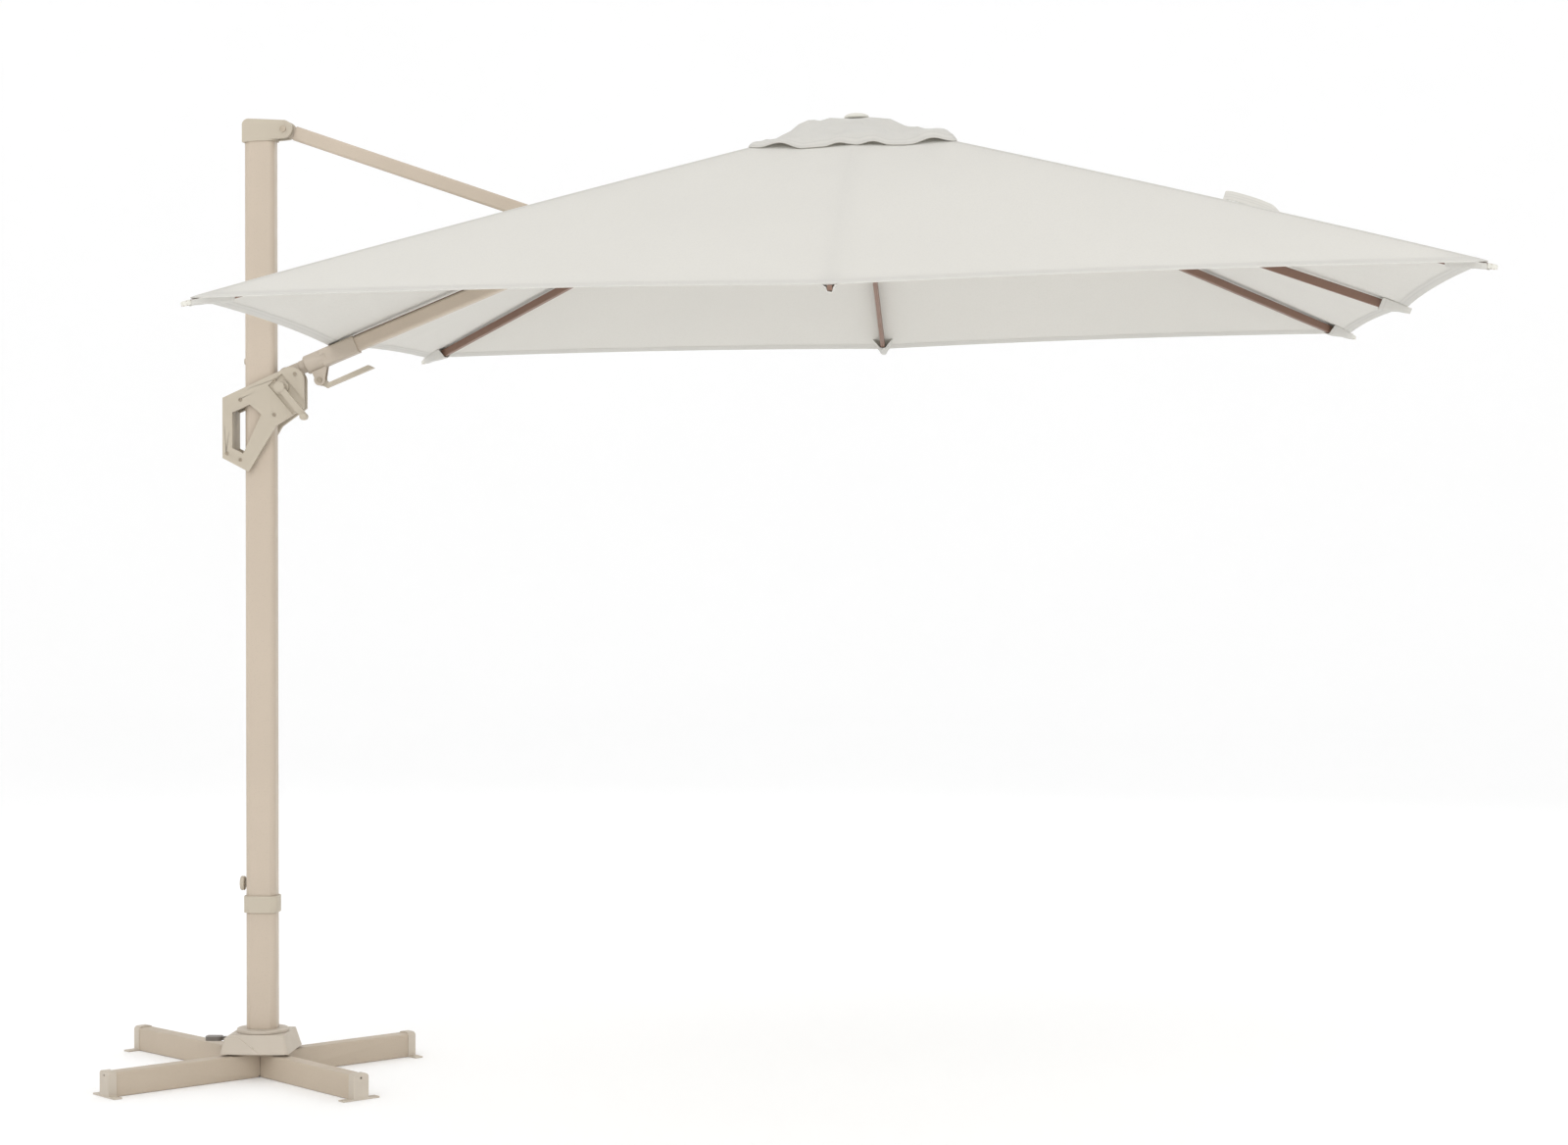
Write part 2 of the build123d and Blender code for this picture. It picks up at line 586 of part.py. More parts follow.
def half_gore(tip, beside):
    """The flat piece between a rib and the middle of the panel beside it."""
    inner = 0.068
    seam = tip + (beside - tip) * 0.4985
    seam_in = tip + (beside - tip) * 0.49
    return thicken([APEX + (tip - APEX) * inner, tip, seam, APEX + (seam_in - APEX) * inner])


def build_gores():
    for i, name in enumerate(GORES):
        tip = TIPS[i]
        gore = half_gore(tip, TIPS[(i + 1) % 8]) + half_gore(tip, TIPS[i - 1])
        if name == "arm":
            x = CROSSING[0] - CANOPY_X - 40
            gore = gore - Pos(x, 0, -250) * Box(230, 112, 400)
        write("gore_" + name, CANOPY * gore)


def build_vent():
    low = -57.0
    top = Vector(0, 0, APEX_RISE + 8)
    corners = [Vector(x * VENT_HALF, y * VENT_HALF, low) for x, y in ((1, 1), (-1, 1), (-1, -1), (1, -1))]
    vent = thicken([top, corners[0], corners[1]])
    for i in range(1, 4):
        vent = vent + thicken([top, corners[i], corners[(i + 1) % 4]])
    write("vent_cap", CANOPY * (vent - Pos(0, 0, 30) * Cylinder(10, 60)))


os.makedirs("parts", exist_ok=True)
build_base()
build_pedal()
build_mast()
build_cap()
build_strut()
build_cradle()
build_arm()
build_lever()
build_carriage()
build_crank()
build_hub()
build_lower_hub()
for rib in RIBS:
    build_rib(*rib)
    build_stay(*rib)
build_gores()
build_vent()
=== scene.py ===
import json
import math

import bpy
from mathutils import Matrix, Vector, noise


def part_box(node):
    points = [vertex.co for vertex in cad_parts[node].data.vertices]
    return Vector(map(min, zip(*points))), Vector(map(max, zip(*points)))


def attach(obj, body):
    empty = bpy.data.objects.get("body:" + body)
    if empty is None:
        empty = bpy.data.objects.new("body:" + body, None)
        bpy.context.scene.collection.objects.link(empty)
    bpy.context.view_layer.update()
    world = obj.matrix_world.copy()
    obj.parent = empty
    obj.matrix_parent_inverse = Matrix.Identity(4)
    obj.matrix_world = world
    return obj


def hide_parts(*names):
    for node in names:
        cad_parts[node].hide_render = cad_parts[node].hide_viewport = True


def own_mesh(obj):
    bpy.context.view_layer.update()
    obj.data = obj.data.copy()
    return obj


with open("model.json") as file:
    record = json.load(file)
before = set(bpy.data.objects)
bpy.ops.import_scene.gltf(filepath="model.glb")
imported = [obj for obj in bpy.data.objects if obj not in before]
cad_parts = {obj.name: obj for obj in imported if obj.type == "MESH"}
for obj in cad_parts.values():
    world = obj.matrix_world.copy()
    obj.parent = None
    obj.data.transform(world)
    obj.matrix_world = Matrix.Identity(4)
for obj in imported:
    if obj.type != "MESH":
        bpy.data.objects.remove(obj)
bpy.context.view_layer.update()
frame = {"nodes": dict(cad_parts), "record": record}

# The canopy in its own axes, in metres: origin at the hub, +X away from the mast, nose up a little
TILT = math.radians(1.2)
HALF = 1.5
CORNER_DROP = 0.516
MID_DROP = 0.526
ARM_DROP = 0.551
APEX_RISE = 0.030

# The cloth: its thickness, how far it stands above its lines, and how deep its sag and small folds are
CLOTH = 0.0011
LIFT = 0.0017
BOW = 0.008
SAG = 0.011
RIPPLE = 0.006
TIP_FOLD = 0.0016

# The hem: how far it arches up and in between the tips, and its width
HEM_RISE = 0.007
HEM_IN = 0.010
HEM_WIDE = 0.028

# Rows of the cloth's mesh, as shares of the way out from the apex to the hem, which is LINE metres
LINE = 1.58
FIRST_ROW = 0.030
LAST_ROW = 0.965
HEM_BAND = 0.981
ROWS = 40

# The strut's slot in the arm's gore: half its width in steps round the hem, and where it starts and
# ends on the way out
SLOT_HALF = 0.088
SLOT_IN = 0.385
SLOT_OUT = 0.56

# The middle strip of the arm's gore: the row where it leaves the gore's edges, and half its width
STRIP_ROW = 4
STRIP_START = 0.1235
STRIP_HALF = 0.5 * HALF * STRIP_START

hub_low, hub_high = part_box("top_hub")
HUB = (hub_low + hub_high) / 2
CANOPY = Matrix.Translation(HUB) @ Matrix.Rotation(-TILT, 4, "Y")
GORES = ["outer", "outer_far", "far", "mast_far", "arm", "mast_near", "near", "outer_near"]
TIPS = [Vector((HALF, 0, -MID_DROP)), Vector((HALF, HALF, -CORNER_DROP)),
        Vector((0, HALF, -MID_DROP)), Vector((-HALF, HALF, -CORNER_DROP)),
        Vector((-HALF, 0, -ARM_DROP)), Vector((-HALF, -HALF, -CORNER_DROP)),
        Vector((0, -HALF, -MID_DROP)), Vector((HALF, -HALF, -CORNER_DROP))]
APEX = Vector((0, 0, APEX_RISE))


# Materials


def srgb(red, green, blue):
    """A colour given as 0 to 255 sRGB, as Blender's linear values."""
    def linear(c):
        c = c / 255
        return c / 12.92 if c <= 0.04045 else ((c + 0.055) / 1.055) ** 2.4
    return (linear(red), linear(green), linear(blue), 1.0)


class Nodes:
    """A new material's node tree, with short calls to add to it."""

    def __init__(self, name):
        self.material = bpy.data.materials.new(name)
        self.material.use_nodes = True
        self.tree = self.material.node_tree
        self.shader = self.tree.nodes["Principled BSDF"]
        self.place = self.add("ShaderNodeTexCoord").outputs["Object"]

    def add(self, kind, **values):
        node = self.tree.nodes.new(kind)
        for key, value in values.items():
            setattr(node, key, value)
        return node

    def link(self, source, target):
        self.tree.links.new(source, target)

    def noise(self, scale, detail=3.0, rough=0.5, stretch=None):
        node = self.add("ShaderNodeTexNoise")
        node.inputs["Scale"].default_value = scale
        node.inputs["Detail"].default_value = detail
        node.inputs["Roughness"].default_value = rough
        place = self.place
        if stretch:
            mapping = self.add("ShaderNodeMapping")
            mapping.inputs["Scale"].default_value = stretch
            self.link(place, mapping.inputs["Vector"])
            place = mapping.outputs["Vector"]
        self.link(place, node.inputs["Vector"])
        return node.outputs["Fac"]

    def span(self, value, low, high, to_low=0.0, to_high=1.0):
        node = self.add("ShaderNodeMapRange")
        ends = {"From Min": low, "From Max": high, "To Min": to_low, "To Max": to_high}
        for name, number in ends.items():
            node.inputs[name].default_value = number
        self.link(value, node.inputs["Value"])
        return node.outputs["Result"]

    def math(self, operation, first, second=None):
        node = self.add("ShaderNodeMath", operation=operation)
        for socket, value in zip(node.inputs, (first, second)):
            if isinstance(value, (int, float)):
                socket.default_value = value
            elif value is not None:
                self.link(value, socket)
        return node.outputs["Value"]

    def mix(self, factor, first, second):
        node = self.add("ShaderNodeMix", data_type="RGBA")
        self.link(factor, node.inputs["Factor"])
        for socket, value in ((node.inputs[6], first), (node.inputs[7], second)):
            if isinstance(value, tuple):
                socket.default_value = value
            else:
                self.link(value, socket)
        return node.outputs[2]

    def bump(self, height, distance, strength=1.0, below=None):
        node = self.add("ShaderNodeBump")
        node.inputs["Distance"].default_value = distance
        node.inputs["Strength"].default_value = strength
        self.link(height, node.inputs["Height"])
        if below is not None:
            self.link(below, node.inputs["Normal"])
        return node.outputs["Normal"]

    def constant(self, **values):
        for key, value in values.items():
            self.shader.inputs[key.replace("_", " ")].default_value = value


def shade(colour, by):
    """The colour, darker or paler by a factor."""
    return tuple(min(1.0, c * by) for c in colour[:3]) + (1.0,)


def edge_highlight(n):
    """Near 1 on sharp outside edges, by how far a rounded normal turns away from the true one: the mask for
    a painted highlight along edges.
    """
    bevel = n.add("ShaderNodeBevel", samples=4)
    bevel.inputs["Radius"].default_value = 0.0018
    normal = n.add("ShaderNodeNewGeometry").outputs["Normal"]
    dot = n.add("ShaderNodeVectorMath", operation="DOT_PRODUCT")
    n.link(bevel.outputs["Normal"], dot.inputs[0])
    n.link(normal, dot.inputs[1])
    return n.span(dot.outputs["Value"], 0.995, 0.88)


def coated(name, colour, rough):
    """Powder coat: a fine orange peel, cloudy tone, fine dark specks of dust and a painted highlight in
    patches along the edges.
    """
    n = Nodes(name)
    clouds = n.span(n.noise(3.0, 4.0), 0.3, 0.7)
    tone = n.mix(clouds, shade(colour, 0.96), shade(colour, 1.04))
    speckle = n.span(n.noise(420.0, 2.0), 0.60, 0.75)
    tone = n.mix(speckle, tone, shade(colour, 0.88))
    # Painted highlight: sharp edges are made paler, broken into patches by noise.
    highlight_patches = n.math("MULTIPLY", edge_highlight(n), n.span(n.noise(35.0), 0.35, 0.65))
    tone = n.mix(highlight_patches, tone, shade(colour, 1.12))
    n.link(tone, n.shader.inputs["Base Color"])
    n.link(n.span(n.noise(18.0, 5.0), 0.3, 0.7, rough - 0.07, rough + 0.08), n.shader.inputs["Roughness"])
    peel = n.bump(n.noise(650.0, 2.0, 0.4), 0.0004, 0.35)
    n.link(n.bump(n.noise(60.0, 2.0), 0.0006, 0.12, peel), n.shader.inputs["Normal"])
    n.constant(Specular_IOR_Level=0.42)
    return n.material


def moulded(name, colour, rough):
    """Moulded plastic with a fine pebble grain and a painted highlight on its edges."""
    grain = 900.0
    n = Nodes(name)
    tone = n.mix(n.span(n.noise(5.0, 4.0), 0.3, 0.7), shade(colour, 0.955), shade(colour, 1.035))
    # Painted highlight: sharp edges are made paler.
    tone = n.mix(n.math("MULTIPLY", edge_highlight(n), 0.6), tone, shade(colour, 1.14))
    n.link(tone, n.shader.inputs["Base Color"])
    n.link(n.span(n.noise(26.0, 4.0), 0.3, 0.7, rough - 0.06, rough + 0.09), n.shader.inputs["Roughness"])
    cells = n.add("ShaderNodeTexVoronoi", feature="SMOOTH_F1")
    cells.inputs["Scale"].default_value = grain
    n.link(n.place, cells.inputs["Vector"])
    n.link(n.bump(cells.outputs["Distance"], 0.0003, 0.35), n.shader.inputs["Normal"])
    n.constant(Specular_IOR_Level=0.4)
    return n.material


def plated(name, colour):
    """Zinc plate with a brushed direction and dull patches."""
    n = Nodes(name)
    tone = n.mix(n.span(n.noise(90.0, 4.0), 0.35, 0.7), colour, shade(colour, 0.78))
    n.link(tone, n.shader.inputs["Base Color"])
    n.link(n.span(n.noise(160.0, 4.0), 0.3, 0.7, 0.28, 0.48), n.shader.inputs["Roughness"])
    n.link(n.bump(n.noise(700.0, 2.0, 0.5, (1.0, 1.0, 0.05)), 0.0003, 0.3), n.shader.inputs["Normal"])
    n.constant(Metallic=0.9)
    return n.material


def threads(n, across, count):
    """A wave along one UV direction, one crest to a thread."""
    return n.math("SINE", n.math("MULTIPLY", across, count * 2 * math.pi))


def woven(name, colour, seam=False):
    """Plain-woven polyester: over-and-under threads, slubs, mottling and a soft sheen.
    A seam also carries two rows of stitches that run along U."""
    thread = 0.0009
    n = Nodes(name)
    uv = n.add("ShaderNodeSeparateXYZ")
    n.link(n.add("ShaderNodeUVMap").outputs["UV"], uv.inputs["Vector"])
    u, v = uv.outputs["X"], uv.outputs["Y"]
    weave = n.math("MULTIPLY", threads(n, u, 0.5 / thread), threads(n, v, 0.5 / thread))
    slub = n.noise(240.0, 3.0, 0.6, (1.0, 0.12, 1.0))
    height = n.math("ADD", n.math("MULTIPLY", weave, 0.5), n.math("MULTIPLY", slub, 0.9))
    tone = n.mix(n.span(n.noise(1.6, 4.0), 0.3, 0.7), shade(colour, 0.975), shade(colour, 1.02))
    tone = n.mix(n.span(slub, 0.45, 0.8), tone, shade(colour, 0.94))
    tone = n.mix(n.span(weave, -1.0, 1.0), tone, shade(colour, 1.015))
    if seam:
        tone, height = stitched(n, u, v, tone, height, colour)
    n.link(tone, n.shader.inputs["Base Color"])
    n.link(n.span(slub, 0.3, 0.7, 0.78, 0.92), n.shader.inputs["Roughness"])
    cloth = n.bump(height, 0.0005, 0.30)
    n.link(n.bump(n.noise(7.0, 3.0), 0.004, 0.25, cloth), n.shader.inputs["Normal"])
    n.constant(Sheen_Weight=0.25, Sheen_Roughness=0.5, Specular_IOR_Level=0.25)
    glow = n.add("ShaderNodeBsdfTranslucent")
    n.link(tone, glow.inputs["Color"])
    both = n.add("ShaderNodeMixShader")
    both.inputs["Fac"].default_value = 0.26
    n.link(n.shader.outputs["BSDF"], both.inputs[1])
    n.link(glow.outputs["BSDF"], both.inputs[2])
    n.link(both.outputs["Shader"], n.tree.nodes["Material Output"].inputs["Surface"])
    return n.material


def stitched(n, u, v, tone, height, colour):
    """Two rows of stitches, a fixed way in from each side of the band, each beside a dented crease that is
    darkened with painted shade; V runs across it in metres.
    """
    stitch, row = 0.0045, 0.005
    on = n.span(threads(n, u, 1 / stitch), -0.3, 0.1)
    offset = n.math("ABSOLUTE", n.math("SUBTRACT", n.math("ABSOLUTE", v), row))
    line = n.span(offset, 0.0011, 0.0004)
    mask = n.math("MULTIPLY", on, line)
    crease_and_shade = n.span(offset, 0.0030, 0.0010)
    height = n.math("SUBTRACT", height, n.math("MULTIPLY", crease_and_shade, 1.2))
    height = n.math("ADD", height, n.math("MULTIPLY", mask, 2.2))
    # Painted shade: the cloth along each stitch row's crease is darkened as well as dented.
    return n.mix(n.math("MULTIPLY", crease_and_shade, 0.5), tone, shade(colour, 0.88)), height


CLOTH_TONE = srgb(229, 227, 221)
MATERIALS = {
    "steel_beam": coated("steel_beam", srgb(186, 172, 154), 0.52),
    "coated_tube": coated("coated_tube", srgb(195, 181, 164), 0.46),
    "coated_casting": coated("coated_casting", srgb(190, 178, 163), 0.48),
    "rib_tube": coated("rib_tube", srgb(132, 103, 88), 0.42),
    "cover_plastic": moulded("cover_plastic", srgb(194, 184, 170), 0.55),
    "moulded_plastic": moulded("moulded_plastic", srgb(190, 180, 163), 0.55),
    "fabric_plastic": moulded("fabric_plastic", srgb(218, 216, 207), 0.5),
    "pedal_grey": coated("pedal_grey", srgb(116, 110, 103), 0.45),
    "zinc": plated("zinc", srgb(172, 160, 143)),
    "canopy_fabric": woven("canopy_fabric", CLOTH_TONE),
}
SEAM = woven("canopy_seam", CLOTH_TONE, seam=True)


# Mesh helpers


def add_piece(name, verts, faces, materials, body, uvs=None, normals=None, indices=None):
    """A mesh in the frame's axes that rides on a body. uvs and normals are one to a vertex,
    and indices give each face's material."""
    mesh = bpy.data.meshes.new(name)
    mesh.from_pydata([tuple(v) for v in verts], [], faces)
    for material in materials:
        mesh.materials.append(material)
    mesh.polygons.foreach_set("use_smooth", [True] * len(mesh.polygons))
    if indices:
        mesh.polygons.foreach_set("material_index", indices)
    if uvs:
        layer = mesh.uv_layers.new(name="UVMap")
        for loop in mesh.loops:
            layer.data[loop.index].uv = uvs[loop.vertex_index]
    mesh.update()
    if normals:
        mesh.normals_split_custom_set(corner_normals(mesh, normals))
    piece = bpy.data.objects.new(name, mesh)
    bpy.context.scene.collection.objects.link(piece)
    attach(piece, body)
    return piece


def corner_normals(mesh, normals):
    """The given normals at each face's corners, or the face's own where it stands across them, as
    a rim does."""
    across = 0.3
    corners = []
    for face in mesh.polygons:
        rim = min(face.normal.dot(normals[i]) for i in face.vertices) < across
        corners += [tuple(face.normal if rim else normals[i]) for i in face.vertices]
    return corners


def grid_faces(rows, columns, flip=False):
    """Quads between rows x columns points laid out row by row."""
    faces = []
    for i in range(rows - 1):
        for j in range(columns - 1):
            a = i * columns + j
            face = (a, a + 1, a + columns + 1, a + columns)
            faces.append(face[::-1] if flip else face)
    return faces


def ring_faces(rings, segments, flip=False):
    """Quads between closed rings of points, laid out ring by ring."""
    faces = []
    for i in range(rings - 1):
        for k in range(segments):
            a, b = i * segments + k, i * segments + (k + 1) % segments
            face = (a, b, b + segments, a + segments)
            faces.append(face[::-1] if flip else face)
    return faces


# Canopy: one curved sheet over all eight lines, cut into a gore for each so that it can fold


def body_of(name):
    """The body that a gore rides on."""
    return "arm" if name == "arm" else "rib_" + name


def is_corner(index):
    """True for the four lines that run to the canopy's corners."""
    return index % 2 == 1


def hem_point(at):
    """The hem round the canopy, at = 0 to 8 in steps of one from tip to tip."""
    index = int(math.floor(at)) % 8
    share = at - math.floor(at)
    point = TIPS[index].lerp(TIPS[(index + 1) % 8], share)
    arch = 4 * share * (1 - share)
    inward = Vector((-point.x, -point.y, 0)).normalized()
    return point + Vector((0, 0, HEM_RISE * arch)) + inward * HEM_IN * arch


def surface(at, out):
    """A point on the cloth's middle. out runs from 0 at the apex to 1 at the hem. The cloth stands a
    little above its lines, sags and ripples between them, and gathers in small folds near the tips."""
    share = at - math.floor(at)
    between = (1 - abs(2 * share - 1)) ** 0.75
    point = APEX.lerp(hem_point(at), out)
    sag = SAG * math.sin(math.pi * min(1.0, out)) ** 0.8 * between
    place = Vector((point.x * 1.3, point.y * 1.3, 0))
    ripple = (noise.noise(place) - 0.1) * RIPPLE * math.sin(math.pi * out) * between
    bow = BOW * math.sqrt(max(0.0, math.sin(math.pi * min(1.0, out))))
    near_tip = max(0.0, (out - 0.80) / 0.20)
    folds = math.sin(share * math.pi * 10) * TIP_FOLD * near_tip * (1 - near_tip) * 4 * between
    point.z += LIFT + bow - sag + ripple + folds
    return CANOPY @ point


def cloth_height(x, y):
    """How high the cloth is, in the canopy's axes, over a point given in them."""
    out = max(abs(x), abs(y)) / HALF
    if abs(x) >= abs(y):
        at = y / x if x > 0 else 4 + y / x
    else:
        at = 2 - x / y if y > 0 else 6 - x / y
    return (CANOPY.inverted() @ surface(at % 8, out)).z


def cloth_normal(at, out):
    """The cloth's upward normal, by the difference between points beside it."""
    small = 0.004
    across = surface(at + small, out) - surface(at - small, out)
    along = surface(at, out + small) - surface(at, out - small)
    normal = along.cross(across)
    if normal.length < 1e-12:
        return CANOPY.to_3x3() @ Vector((0, 0, 1))
    normal.normalize()
    return normal if normal.z > 0 else -normal


def cross_levels():
    """Positions across a gore, -0.5 to 0.5, closer together at the rib's ridge."""
    steps = 18
    half = [0.5 * (i / steps) ** 1.35 for i in range(steps + 1)]
    return [-v for v in reversed(half[1:])] + half


def out_levels():
    """Positions from the apex to the hem, with rows for the hem's band."""
    rows = [FIRST_ROW + (LAST_ROW - FIRST_ROW) * i / ROWS for i in range(ROWS + 1)]
    return rows + [HEM_BAND, HEM_BAND + 0.0002, 0.990, 1.0]


def thicken(skin, faces, normals, uvs, thickness):
    """Two skins a thickness apart, joined along every open edge. thickness is one to a point."""
    count = len(skin)
    upper = [p + n * t / 2 for p, n, t in zip(skin, normals, thickness)]
    lower = [p - n * t / 2 for p, n, t in zip(skin, normals, thickness)]
    uses = {}
    for face in faces:
        for a, b in zip(face, face[1:] + face[:1]):
            uses.setdefault(frozenset((a, b)), []).append((a, b))
    edges = [pairs[0] for pairs in uses.values() if len(pairs) == 1]
    rim = [(b, a, a + count, b + count) for a, b in edges]
    below = [tuple(i + count for i in reversed(face)) for face in faces]
    return upper + lower, faces + below + rim, normals + [-n for n in normals], uvs + uvs


def in_slot(at, out):
    """True inside the slot in the arm's gore where the strut passes through the cloth."""
    return abs(at) < SLOT_HALF and SLOT_IN < out < SLOT_OUT


def strip_share(out):
    """How far across the arm's gore its middle strip reaches, in steps round the hem."""
    return min(0.5, STRIP_HALF / (HALF * out))


def face_middle(face, places):
    """The mean (at, out) of a face's corners."""
    return [sum(places[i][c] for i in face) / len(face) for c in (0, 1)]


def build_sheet(name, index, rows, body, start=None, slot=False):
    """One part of the canopy's cloth. rows holds (out, positions across). It may come from one point,
    start, before its first row, and may have the strut's slot in it."""
    columns = len(rows[0][1])
    places = [(at, out) for out, across in rows for at in across]
    faces = grid_faces(len(rows), columns, flip=True)
    if start:
        faces += [(len(places), j, j + 1) for j in range(columns - 1)]
        places.append(start)
    if slot:
        faces = [face for face in faces if not in_slot(*face_middle(face, places))]
    inverse = CANOPY.inverted()
    skin = [surface(index + at, out) for at, out in places]
    normals = [cloth_normal(index + at, out) for at, out in places]
    thickness = [CLOTH * (1.9 if out > HEM_BAND else 1.0) for at, out in places]
    uvs = [tuple((inverse @ point).xy) for point in skin]
    verts, faces, normals, uvs = thicken(skin, faces, normals, uvs, thickness)
    return add_piece("canopy_" + name, verts, faces, [MATERIALS["canopy_fabric"]], body,
                     uvs, normals)


def build_gore(index, name):
    """One rib's gore, from near the hub to the hem."""
    rows = [(out, cross_levels()) for out in out_levels()]
    piece = build_sheet(name, index, rows, body_of(name))
    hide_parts("gore_" + name)
    return piece


def build_arm_gore(index):
    """The arm's gore: a middle strip with the strut's slot, and a flank each side of it."""
    strip_steps, flank_steps = 12, 18
    outs = out_levels()
    steps = range(-strip_steps, strip_steps + 1)
    strip = [(out, [strip_share(out) * k / strip_steps for k in steps]) for out in outs]
    middle = build_sheet("arm", index, strip, "arm", slot=True)
    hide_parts("gore_arm")
    pieces = [middle]
    for word, sign in (("far", -1), ("near", 1)):
        rows = []
        for out in outs[STRIP_ROW + 1:]:
            inner = strip_share(out)
            across = [sign * (inner + (0.5 - inner) * k / flank_steps) for k in range(flank_steps + 1)]
            rows.append((out, across[::sign]))
        pieces.append(build_sheet("arm_" + word, index, rows, "arm", start=(sign * 0.5, outs[STRIP_ROW])))
    return pieces


def band(name, rows, body, height, uvs):
    """A folded strip of cloth on the canopy. rows holds lines of (at, out) on the surface."""
    columns = len(rows[0])
    skin = [surface(at, out) for row in rows for at, out in row]
    normals = [cloth_normal(at, out) for row in rows for at, out in row]
    faces = grid_faces(len(rows), columns, flip=grid_flip(skin, columns, normals))
    thickness = [CLOTH + height] * len(skin)
    verts, faces, normals, uvs = thicken(skin, faces, normals, uvs, thickness)
    return add_piece(name, verts, faces, [SEAM], body, uvs, normals)


def build_hem(index, name, body, low=-0.5, high=0.5):
    """The hem, folded and stitched twice, round one gore's outer edge or a part of it."""
    past_edge, height, steps = 1.0005, 0.0016, 24
    across = cross_levels()
    if high - low < 1:
        across = [low + (high - low) * k / steps for k in range(steps + 1)]
    depths = [0.0, 0.0004, 0.006, 0.013, 0.020, HEM_WIDE]
    rows = [[(index + side, past_edge - depth / LINE) for side in across] for depth in depths]
    uvs = [((index + side) * HALF, depth - HEM_WIDE + 0.007) for depth in depths for side in across]
    return band("hem_" + name, rows, body, height, uvs)


def build_ridge_seam(index, name, body):
    """The felled seam over a corner rib, from the vent to the hem."""
    first, length, steps, height = 0.05, 0.945, 60, 0.0012
    corner_line, step_wide = 2.18, 1.06
    rows, uvs = [], []
    for i in range(steps + 1):
        out = first + length * i / steps
        row = []
        for offset in (-0.008, -0.0055, -0.0025, 0.0, 0.0025, 0.0055, 0.008):
            row.append((index + offset / (out * step_wide), out))
            uvs.append((out * corner_line, offset))
        rows.append(row)
    return band("seam_" + name, rows, body, height, uvs)


def rib_frame(index):
    """Where a rib ends and its directions: along it, across it and up from it, in the canopy's axes."""
    tip = TIPS[index]
    reach = math.hypot(tip.x, tip.y)
    gap = 0.0032 if is_corner(index) else 0.001
    half_deep, hinge_reach = 0.012, 0.045
    radial = Vector((tip.x, tip.y, 0)) / reach
    end = radial * reach + Vector((0, 0, tip.z - gap - half_deep))
    along = (end - radial * hinge_reach).normalized()
    side = Vector((-radial.y, radial.x, 0))
    up = along.cross(side)
    return end, along, side, up if up.z > 0 else -up


def build_pocket(index, name, body):
    """The sleeve under the hem that a rib's end sits in: deep where it is cut off, shallow at the tip."""
    end, along, side, up = rib_frame(index)
    back, front = (-0.112, 0.002) if is_corner(index) else (-0.078, 0.008)
    under_skin, thick = 0.0022, 0.0018
    rows, columns = 17, 25
    skin, uvs = [], []
    for i in range(rows):
        share = i / (rows - 1)
        at = back + (front - back) * share
        ease = share * share * (3 - 2 * share)
        close = 1 - max(0.0, (share - 0.86) / 0.14) ** 2 * 0.35
        wide_top = (0.031 - 0.014 * ease) * close
        wide_low = 0.0098 * close
        deep = 0.0165 - 0.0145 * ease
        for j in range(columns):
            turn = -1 + 2 * j / (columns - 1)
            spread = min(1.0, abs(turn) * 1.9)
            wide = wide_low * math.sin(spread * math.pi / 2) + (wide_top - wide_low) * abs(turn) ** 3
            rise = -deep + (0.0140 + deep) * abs(turn) ** 2.2
            place = Vector((at * 60, turn * 2.2, index))
            pucker = noise.noise(place) * 0.0014 * (1 - abs(turn) ** 4)
            place = end + along * at + side * math.copysign(wide, turn) + up * (rise + pucker)
            place.z = min(place.z, cloth_height(place.x, place.y) - under_skin)
            skin.append(CANOPY @ place)
            uvs.append((turn * 0.05, at - back - 0.006))
    normals = mesh_normals(skin, rows, columns)
    middle = columns // 2
    if (CANOPY.to_3x3() @ up).dot(normals[middle]) > 0:
        normals = [-v for v in normals]
    faces = grid_faces(rows, columns, flip=grid_flip(skin, columns, normals))
    verts, faces, normals, uvs = thicken(skin, faces, normals, uvs, [thick] * len(skin))
    return add_piece("pocket_" + name, verts, faces, [SEAM], body, uvs, normals)


def build_tip(index, name):
    """The plastic knob on the end of a corner rib, which sticks out past the hem. Its profile holds
    (distance out, size), and its section is a rounded box."""
    end, along, side, up = rib_frame(index)
    half_wide, half_high = 0.0078, 0.0066
    profile = [(0.0005, 0.80), (0.0015, 1.0), (0.0100, 1.0), (0.0115, 0.86), (0.0130, 0.86),
               (0.0145, 0.98), (0.0190, 0.95), (0.0218, 0.82), (0.0232, 0.55), (0.0235, 0.0)]
    verts, segments = [], 32
    for at, size in profile:
        for k in range(segments):
            angle = 2 * math.pi * k / segments
            boxy = (abs(math.cos(angle)) ** 4 + abs(math.sin(angle)) ** 4) ** -0.25
            over = half_wide * size * boxy * math.cos(angle)
            high = half_high * (1 + size * boxy * math.sin(angle))
            verts.append(CANOPY @ (end + along * at + side * over + up * high))
    faces = [tuple(range(segments))] + ring_faces(len(profile) - 1, segments, flip=True)
    last = (len(profile) - 2) * segments
    verts = verts[:last + segments + 1]
    faces += [(last + k, last + segments, last + (k + 1) % segments) for k in range(segments)]
    material = MATERIALS["fabric_plastic"]
    return add_piece("tip_" + name, verts, faces, [material], body_of(name))


def mesh_normals(points, rows, columns):
    """Smooth normals of a grid, by the differences between neighbours."""
    normals = []
    for i in range(rows):
        for j in range(columns):
            a = points[min(i + 1, rows - 1) * columns + j] - points[max(i - 1, 0) * columns + j]
            b = points[i * columns + min(j + 1, columns - 1)] - points[i * columns + max(j - 1, 0)]
            normal = a.cross(b)
            normals.append(normal.normalized() if normal.length > 1e-12 else Vector((0, 0, 1)))
    return normals


def grid_flip(points, columns, normals):
    """True if a grid's faces have to be turned over to agree with its normals."""
    i = len(points) // columns // 2 * columns + columns // 2
    return (points[i + 1] - points[i]).cross(points[i + columns] - points[i]).dot(normals[i]) < 0


